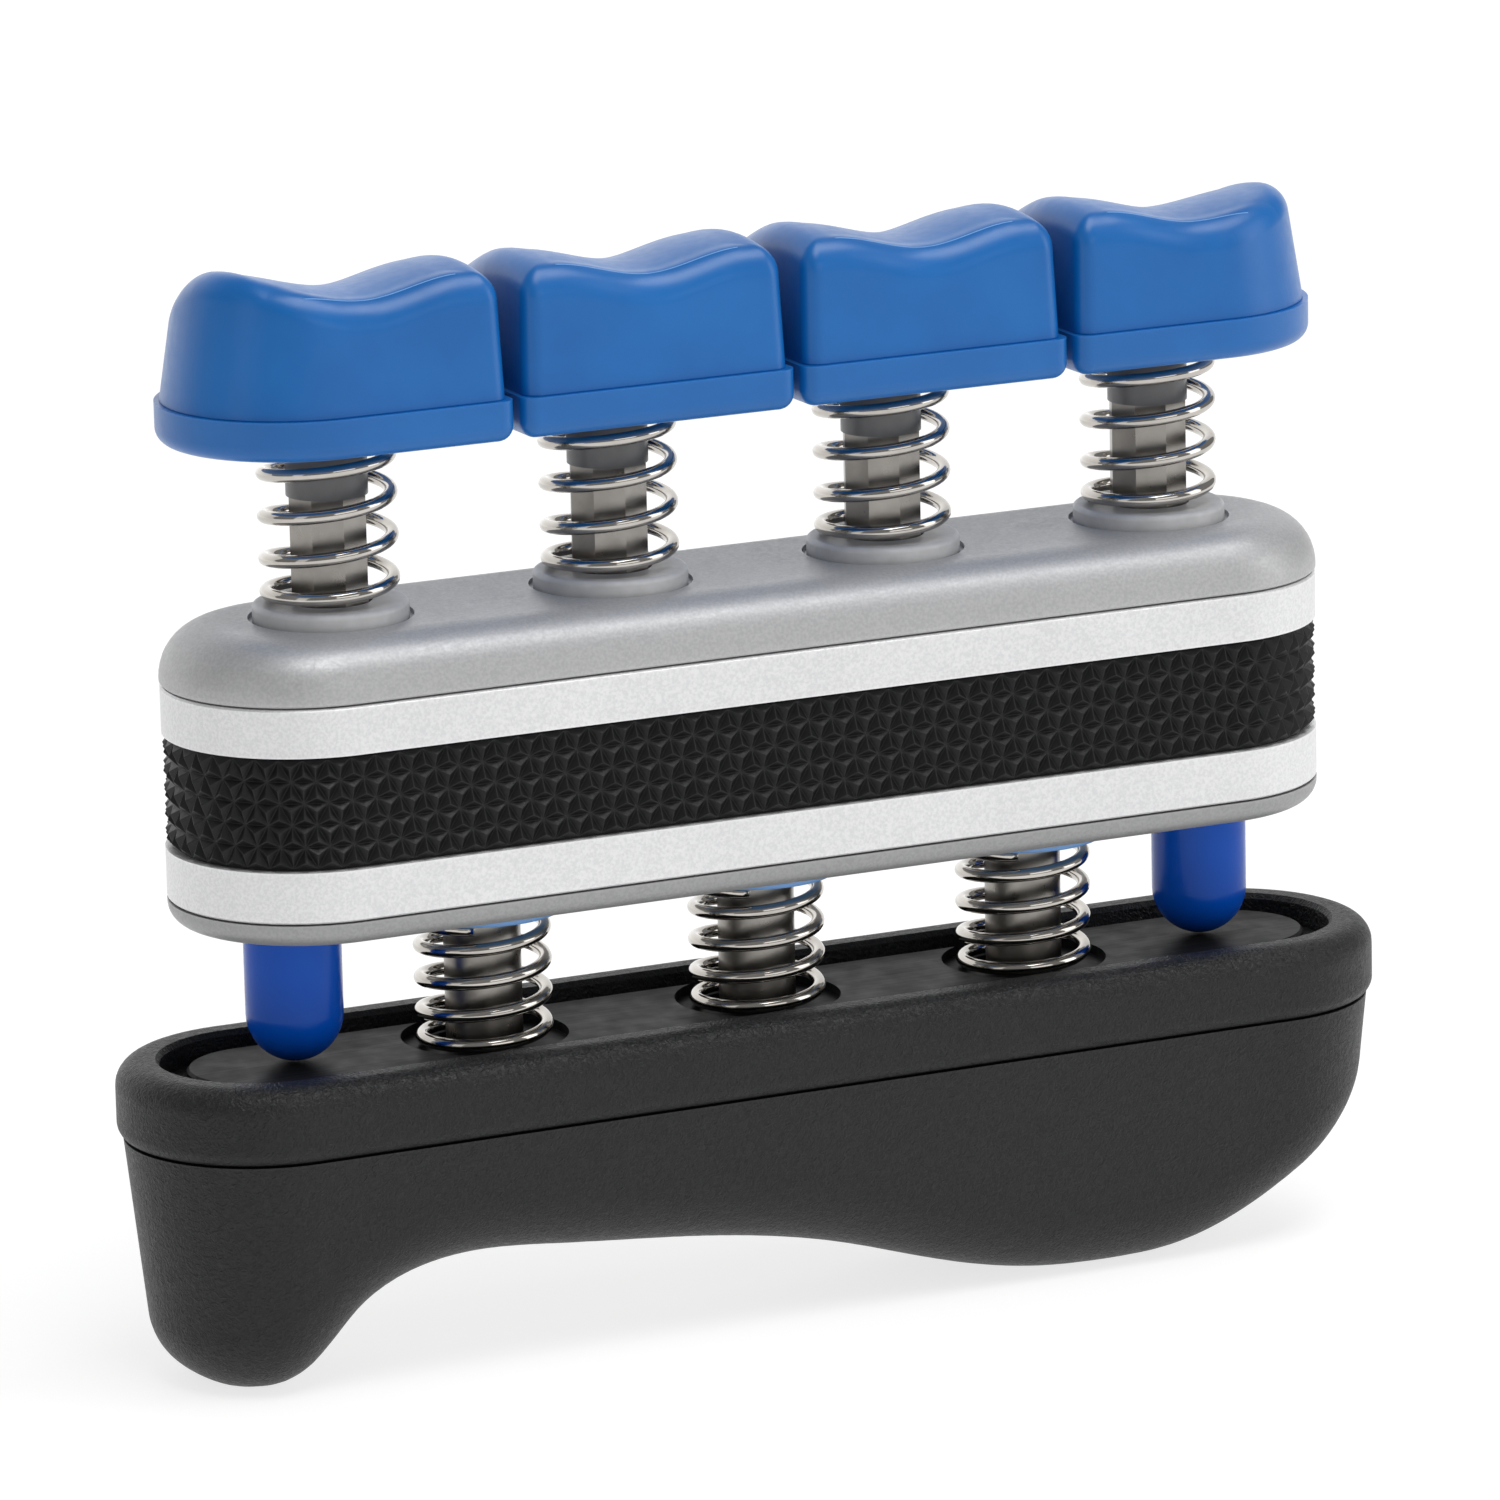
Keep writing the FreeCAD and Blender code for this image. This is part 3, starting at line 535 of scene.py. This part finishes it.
def tube(name, path, radius, sides=8):
    """A fine tube along a path of points, closed at both ends."""
    path = np.asarray(path)
    along = np.gradient(path, axis=0)
    along /= np.linalg.norm(along, axis=1)[:, None]
    across = np.cross(along, (0.0, 0.0, 1.0))
    across /= np.linalg.norm(across, axis=1)[:, None]
    up = np.cross(across, along)
    rings = [path + radius * (math.cos(2 * math.pi * k / sides) * across
                              + math.sin(2 * math.pi * k / sides) * up) for k in range(sides)]
    vertices = np.stack(rings, axis=1).reshape(-1, 3)
    faces = ring_faces(len(path), sides)
    faces.append(tuple(reversed(range(sides))))
    faces.append(tuple(range(len(vertices) - sides, len(vertices))))
    return new_piece(name, vertices, faces)


def cap_seam_highlight(n, pale):
    """The fine witness line along the front edge of a button's dish, laid on the rounded skin and coloured
    pale blue as a painted highlight where the crease catches light.
    """
    middle = centre(f"plunger_post_{n}").x
    x = np.linspace(middle - SEAM_HALF, middle + SEAM_HALF, 60)
    x = x[cap_distance(n, x, np.full_like(x, DISH_FRONT), CAP_CORE_Z) < -SEAM_MARGIN]
    y = np.full_like(x, DISH_FRONT)
    inside, outside = np.full_like(x, CAP_CORE_Z), cap_top(n, x, y)
    for _ in range(30):
        mid = 0.5 * (inside + outside)
        above = cap_distance(n, x, y, mid) > 0
        outside = np.where(above, mid, outside)
        inside = np.where(above, inside, mid)
    piece = tube(f"cap_seam_highlight_{n}", np.stack([x, y, inside - 0.01 * MM], axis=1), SEAM_RADIUS)
    piece.data.materials.append(pale)
    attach(piece, f"button_{n}")


# ---- grip band ----------------------------------------------------------
def grip_band(rubber):
    """Rows of three-sided points all round the handle, between two narrow grooves."""
    low, high = box("grip_band")
    radius, half = high.y, high.x
    straight = half - radius
    perimeter = 4 * straight + 2 * math.pi * radius
    rows = 5
    edge = 0.22 * MM
    z0, z1 = low.z + edge, high.z - edge
    row_height = (z1 - z0) / rows
    across = int(round(perimeter / (row_height * 2 / math.sqrt(3))))
    side = perimeter / across
    valley, groove, back = 0.5 * MM, 0.8 * MM, 0.95 * MM

    def place(s, z, depth):
        """A point at s along the outline, counted from the middle of the front."""
        s = s % perimeter
        r = radius - depth
        arc = math.pi * radius
        if s < straight or s >= perimeter - straight:
            x = s if s < straight else s - perimeter
            return (x, -r, z)
        if s < straight + arc:
            a = (s - straight) / radius - 0.5 * math.pi
            return (straight + r * math.cos(a), r * math.sin(a), z)
        if s < 3 * straight + arc:
            return (straight - (s - straight - arc), r, z)
        a = (s - 3 * straight - arc) / radius + 0.5 * math.pi
        return (-straight + r * math.cos(a), r * math.sin(a), z)

    vertices, faces = [], []

    def lattice(k, i):
        return k * across + i % across

    for k in range(rows + 1):
        for i in range(across):
            vertices.append(place((i + 0.5 * (k % 2)) * side, z0 + k * row_height, valley))
    for k in range(rows):
        shift = k % 2
        for i in range(across):
            up = (lattice(k, i), lattice(k, i + 1), lattice(k + 1, i + shift))
            down = (lattice(k + 1, i + shift), lattice(k, i + 1), lattice(k + 1, i + 1 + shift))
            s_up = (i + 0.5 + 0.5 * shift) * side
            z_up = z0 + (k + 1 / 3) * row_height
            for corners, s, z in ((up, s_up, z_up), (down, s_up + 0.5 * side, z_up + row_height / 3)):
                vertices.append(place(s, z, 0.02 * MM))
                tip = len(vertices) - 1
                faces += [(corners[j], corners[(j + 1) % 3], tip) for j in range(3)]
    lower = [lattice(0, i) for i in range(across)]
    upper = [lattice(rows, i) for i in range(across)]
    shift_top = 0.5 * (rows % 2)
    for outline, offset, profile, flip in (
            (lower, 0.0, ((z0, groove), (low.z, groove), (low.z, back)), False),
            (upper, shift_top, ((z1, groove), (high.z, groove), (high.z, back)), True)):
        previous = outline
        for z, depth in profile:
            start = len(vertices)
            vertices += [place((i + offset) * side, z, depth) for i in range(across)]
            ring = list(range(start, start + across))
            for i in range(across):
                j = (i + 1) % across
                quad = (previous[j], previous[i], ring[i], ring[j])
                faces.append(tuple(reversed(quad)) if flip else quad)
            previous = ring
        if flip:
            top_back = previous
        else:
            low_back = previous
    for i in range(across):
        j = (i + 1) % across
        faces.append((low_back[j], low_back[i], top_back[i]))
        faces.append((low_back[j], top_back[i], top_back[j]))
    piece = new_piece("grip_points", vertices, faces, smooth=False)
    bevel = piece.modifiers.new("soft_edges", "BEVEL")
    bevel.width = 0.05 * MM
    bevel.segments = 2
    bevel.limit_method = "ANGLE"
    bevel.angle_limit = math.radians(20)
    piece.data.materials.append(rubber)
    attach(piece, "chassis")
    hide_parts("grip_band")


# ---- the whole scene ----------------------------------------------------
camera()
studio()

cap_blue = moulded_blue("cap_blue", (0.001, 0.114, 0.395), (0.003, 0.138, 0.455), 0.36, 0.3, 0.005)
# pale blue for the seam lines on the caps: a painted highlight
seam_highlight_blue = moulded_blue("seam_highlight_blue", (0.14, 0.33, 0.66), (0.17, 0.37, 0.72), 0.4, 0.1, 0.004)
pin_blue = moulded_blue("pin_blue", (0.001, 0.072, 0.470), (0.002, 0.088, 0.520), 0.2, 0.0, 0.002, 0.2)
cup_blue = moulded_blue("cup_blue", (0.16, 0.34, 0.66), (0.19, 0.38, 0.72), 0.3, 0.3, 0.003)
cover_silver = silver_paint("cover_silver", 0.50, 0.012)
# the bottom cover: the top cover's silver at a lower level, painted shade for the lower part of the body
silver_painted_shade = silver_paint("silver_painted_shade", 0.37, 0.012)
frame_silver = silver_paint("frame_silver", 0.84, 0.010, metallic=0.3, roughness=0.36)
shell_black = spark_plastic("shell_black", (0.0025, 0.0025, 0.0027), (0.0075, 0.0075, 0.0079), 0.42)
nickel = bright_metal("nickel", (0.47, 0.445, 0.41), (0.58, 0.55, 0.51), 0.09)
post_metal = bright_metal("post_metal", (0.27, 0.255, 0.235), (0.36, 0.34, 0.315), 0.3, lines=(1, 1, 0.03))
screw_metal = bright_metal("screw_metal", (0.36, 0.36, 0.36), (0.48, 0.48, 0.47), 0.3, lines=(1, 1, 0.1))
sleeve_grey = grey_plastic("sleeve_grey", 0.15, 0.35)
bush_grey = grey_plastic("bush_grey", 0.60, 0.4)

paint(["button_base_%d" % n for n in FINGERS], cap_blue)
paint(["end_pin_" + side for side in PIN_SIDES], pin_blue)
paint(["spring_cup_" + side for side in PALM_SIDES], cup_blue)
paint(["top_cover"], cover_silver)
paint(["bottom_cover"], silver_painted_shade)
paint(["center_frame"], frame_silver)
paint(["palm_shell", "palm_rim"], shell_black)
paint(["deck_plate"], deck_black())
paint(["plunger_post_%d" % n for n in FINGERS] + ["palm_post_" + side for side in PALM_SIDES], post_metal)
paint(["deck_screws", "chassis_screws", "palm_post_clips"], screw_metal)
paint(["post_clip_%d" % n for n in FINGERS], screw_metal)
paint(["post_sleeve_%d" % n for n in FINGERS], sleeve_grey)
paint(["guide_bush_%d" % n for n in FINGERS], bush_grey)

springs(nickel)
grip_band(band_rubber())
for finger in FINGERS:
    cap_piece(finger, cap_blue)
    cap_seam_highlight(finger, seam_highlight_blue)
